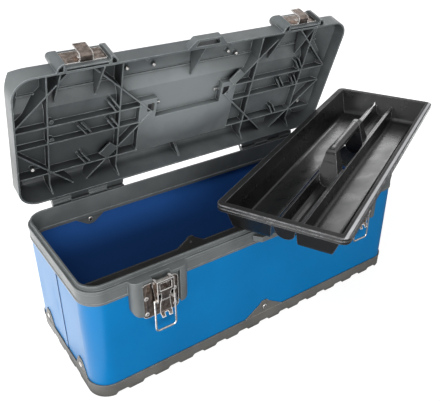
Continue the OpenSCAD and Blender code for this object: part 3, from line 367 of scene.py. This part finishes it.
FINISHES = {
    "base_plastic": moulded_grey("base_plastic", (0.125, 0.122, 0.113), (0.17, 0.165, 0.152)),
    "collar_plastic": moulded_grey(
        "collar_plastic", (0.11, 0.12, 0.121), (0.15, 0.162, 0.163), roughness=0.4, rub_and_highlight=0.7
    ),
    "lid_plastic": moulded_grey(
        "lid_plastic",
        (0.13, 0.145, 0.15),
        (0.19, 0.207, 0.21),
        roughness=0.42,
        rub_and_highlight=0.85,
        pocket_shade=0.95,
        reach=30 * MM,
        painted_light=lid_highlight_and_shade,
    ),
    "blue_paint": painted_blue(),
    "latch_nickel": plated(
        "latch_nickel", (0.40, 0.33, 0.29), (0.07, 0.05, 0.04), roughness=0.13, stain_and_shade=0.9
    ),
    "bail_wire": plated(
        "bail_wire", (0.86, 0.84, 0.82), (0.60, 0.56, 0.52), 0.14, brush=(1, 1, 0.1), stain_and_shade=0.3
    ),
    "fastener_steel": plated("fastener_steel", (0.50, 0.47, 0.44), (0.22, 0.19, 0.17), 0.28),
    "pin_steel": plated(
        "pin_steel", (0.85, 0.85, 0.84), (0.66, 0.65, 0.63), 0.2, brush=(0.1, 1, 1), stain_and_shade=0.2
    ),
    "handle_plastic": moulded_black("handle_plastic", (0.03, 0.03, 0.033), 0.5, 0.06 * MM),
    "tray_plastic": moulded_black(
        "tray_plastic", (0.0065, 0.0065, 0.007), 0.32, 0.03 * MM, coat=0.2, rub_and_highlight=0.6, flanged=True
    ),
}


def dress_solids():
    """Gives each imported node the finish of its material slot."""
    for entry in frame["record"]["subparts"]:
        solid = frame["nodes"][entry["node"]]
        for material_slot in solid.material_slots:
            material_slot.material = FINISHES[entry["material_slot"]]


dress_solids()


# ---------- small fittings ----------


def grid_surface(name, points):
    """A surface from points on a grid (rows, steps, 3), whose rows close around, linked to the scene."""
    rows, steps = points.shape[:2]
    row = np.arange(rows - 1)[:, None] * steps
    step = np.arange(steps)[None, :]
    ahead = (step + 1) % steps
    quad = (row + step, row + steps + step, row + steps + ahead, row + ahead)
    faces = np.stack(quad, -1).reshape(-1, 4)
    mesh = bpy.data.meshes.new(name)
    mesh.from_pydata(points.reshape(-1, 3).tolist(), [], faces.tolist())
    piece = bpy.data.objects.new(name, mesh)
    bpy.context.scene.collection.objects.link(piece)
    return piece


# the hinge's axis, and the box's rear face and rim, which the closed lid meets, in millimetres
HINGE_Y, HINGE_Z = 119.85, 195.1
BOX_REAR, BOX_RIM = 113.25, 190.5
LID_TURN = radians(-71.3)
# side of the lid, across, forward of the rear edge, height above the rim, length of the added boss
LID_SCREWS = [
    (-1, 260, 198, 38, 0),
    (1, 260, 198, 38, 0),
    (-1, 259, 46, 26, 0),
    (1, 259, 46, 26, 0),
    (-1, 109.4, 185.1, 45.2, 7),
    (-1, 64.6, 183.3, 45.2, 7),
    (1, 71.5, 181.8, 45.2, 7),
    (1, 89.2, 174.8, 45.2, 7),
]
# radius of a screw's head and how far it rises, in millimetres
SCREW_R, SCREW_RISE = 2.9, 1.5
# half width of a groove of the cross and how far out it runs, as shares of the radius, and its depth
CROSS_HALF, CROSS_OUT, CROSS_DEPTH = 0.16, 0.62, 0.8
# radius of an added boss and how much wider its foot is
BOSS_R, BOSS_FLARE = 3.3, 1.6


def lid_point(across, forward, up):
    """A point of the lid, given closed in millimetres from the rear edge and the rim, then turned open."""
    y, z = BOX_REAR - forward - HINGE_Y, BOX_RIM + up - HINGE_Z
    turned_y = y * cos(LID_TURN) - z * sin(LID_TURN)
    turned_z = y * sin(LID_TURN) + z * cos(LID_TURN)
    return np.stack(np.broadcast_arrays(across, HINGE_Y + turned_y, HINGE_Z + turned_z), -1) * MM


def lid_piece(name, points, slot):
    """A small piece carried by the lid."""
    piece = grid_surface(name, points)
    piece.data.materials.append(FINISHES[slot])
    piece.data.shade_smooth()
    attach(piece, "lid")


def lid_screws():
    """Pan heads on the lid's bosses. Over a disc of radius R the height falls as the square root of
    one less nine tenths of the squared radius, and a cross of two bell-shaped grooves is sunk in it.
    An added boss is a turned profile: a straight stem whose foot flares as a quarter cosine."""
    ring = np.linspace(0.001, 1, 12)[:, None]
    around = np.linspace(0, 2 * np.pi, 32, endpoint=False)[None, :]
    a, b = ring * np.cos(around), ring * np.sin(around)
    dome = SCREW_RISE * np.sqrt(1 - 0.9 * ring**2)
    cross = np.maximum(np.exp(-((a / CROSS_HALF) ** 2)), np.exp(-((b / CROSS_HALF) ** 2)))
    dome = dome - CROSS_DEPTH * cross / (1 + np.exp((ring - CROSS_OUT) * 30))
    share = np.linspace(0, 1, 10)[:, None]
    foot = 1 - np.cos(np.pi / 2 * np.clip(share * 3 - 2, 0, 1))
    wide = np.vstack([[[0.05]], BOSS_R + BOSS_FLARE * foot])
    for count, (side, across, forward, up, stem) in enumerate(LID_SCREWS):
        x = side * across
        face = up - stem
        head = lid_point(x + SCREW_R * a, forward + SCREW_R * b, face - dome)
        lid_piece(f"lid_screw_{count}", head, "fastener_steel")
        if stem:
            rise = np.vstack([[[0.0]], share * stem])
            boss = lid_point(x + wide * np.cos(around), forward + wide * np.sin(around), face + rise)
            lid_piece(f"lid_boss_{count}", boss, "lid_plastic")


lid_screws()


# ---------- light and backdrop ----------

# name, place, what it aims at, width and height in metres, watts
SOFTBOXES = [
    ("front_softbox", (-0.55, -1.9, 0.62), (0, 0, 0.2), (1.1, 0.8), 24),
    ("left_softbox", (-1.9, 0.1, 0.8), (0, 0, 0.15), (0.9, 1.0), 13),
    ("key_softbox", (-0.9, -0.5, 1.8), (0, 0, 0.2), (0.9, 0.9), 9),
    ("rear_softbox", (1.6, 1.25, 1.15), (0.25, 0, 0.2), (0.8, 0.8), 5),
]
# strength of the world to the camera, its share in mirrored rays, and its strength as plain light
WORLD_SHOWN, WORLD_MIRRORED, WORLD_LIGHT = 1.05, 0.5, 0.26


def softbox(name, at, aim, size, watts):
    data = bpy.data.lights.new(name, "AREA")
    data.shape, data.size, data.size_y = "RECTANGLE", size[0], size[1]
    data.energy = watts
    lamp = bpy.data.objects.new(name, data)
    lamp.location = at
    lamp.rotation_euler = (Vector(aim) - Vector(at)).to_track_quat("-Z", "Y").to_euler()
    bpy.context.scene.collection.objects.link(lamp)


def backdrop(tree, colour, strength):
    shader = tree.nodes.new("ShaderNodeBackground")
    shader.inputs["Color"].default_value = (*colour, 1)
    shader.inputs["Strength"].default_value = strength
    return shader


def white_world():
    """White to the camera, dimmer in mirrored rays, and a weak cool fill for everything else."""
    world = bpy.data.worlds.new("studio")
    bpy.context.scene.world = world
    world.use_nodes = True
    tree = world.node_tree
    tree.nodes.clear()
    path = tree.nodes.new("ShaderNodeLightPath")
    mirrored = tree.nodes.new("ShaderNodeMath")
    mirrored.operation = "MULTIPLY"
    tree.links.new(path.outputs["Is Glossy Ray"], mirrored.inputs[0])
    mirrored.inputs[1].default_value = WORLD_MIRRORED
    seen = tree.nodes.new("ShaderNodeMath")
    seen.operation = "MAXIMUM"
    tree.links.new(path.outputs["Is Camera Ray"], seen.inputs[0])
    tree.links.new(mirrored.outputs[0], seen.inputs[1])
    either = tree.nodes.new("ShaderNodeMixShader")
    out = tree.nodes.new("ShaderNodeOutputWorld")
    light = backdrop(tree, (0.95, 0.97, 1.0), WORLD_LIGHT)
    shown = backdrop(tree, (1, 1, 1), WORLD_SHOWN)
    for number, source in enumerate((seen, light, shown)):
        tree.links.new(source.outputs[0], either.inputs[number])
    tree.links.new(either.outputs[0], out.inputs["Surface"])


# the floor's radius, and how far it lies under the feet, in metres
FLOOR_R, FLOOR_DROP = 6.0, 0.0002
FLOOR_GLOW = 2.3
# the floor's share of glow in the camera's rays, where the box's shadow shows, and in mirrored rays
GLOW_SHOWN, GLOW_MIRRORED = 0.4, 0.97


def studio_floor():
    """A wide flat disc just under the feet, white to the camera but for a soft shadow. In mirrored
    rays it is white beside and behind the box, and stays dim in front of it like a dark flag."""
    around = np.linspace(0, 2 * np.pi, 64, endpoint=False)
    rings = np.array([[0.0001], [FLOOR_R]])
    disc = [rings * np.cos(around), rings * np.sin(around), np.full((2, 64), -FLOOR_DROP)]
    floor = grid_surface("studio_floor", np.stack(disc, -1))
    finish = Finish("studio_floor", Roughness=1.0)
    glow = finish.tree.nodes.new("ShaderNodeEmission")
    glow.inputs["Color"].default_value = (1, 1, 1, 1)
    glow.inputs["Strength"].default_value = FLOOR_GLOW
    camera = finish.node("ShaderNodeLightPath", {}, {}, "Is Camera Ray")
    mirrored = finish.node("ShaderNodeLightPath", {}, {}, "Is Glossy Ray")
    beside = (0 - finish.axis("x")).ramp(0.285, 0.32)
    behind = finish.axis("y").ramp(-0.02, 0.08)
    open_side = (beside + behind).clamped()
    finish.set("Base Color", finish.mix(open_side, (0.3, 0.3, 0.3), (0.9, 0.9, 0.9)))
    share = camera * GLOW_SHOWN + mirrored * open_side * GLOW_MIRRORED
    finish.over(share.clamped(), glow)
    floor.data.materials.append(finish.material)


for box in SOFTBOXES:
    softbox(*box)
white_world()
studio_floor()

bpy.context.scene.view_settings.view_transform = "Standard"
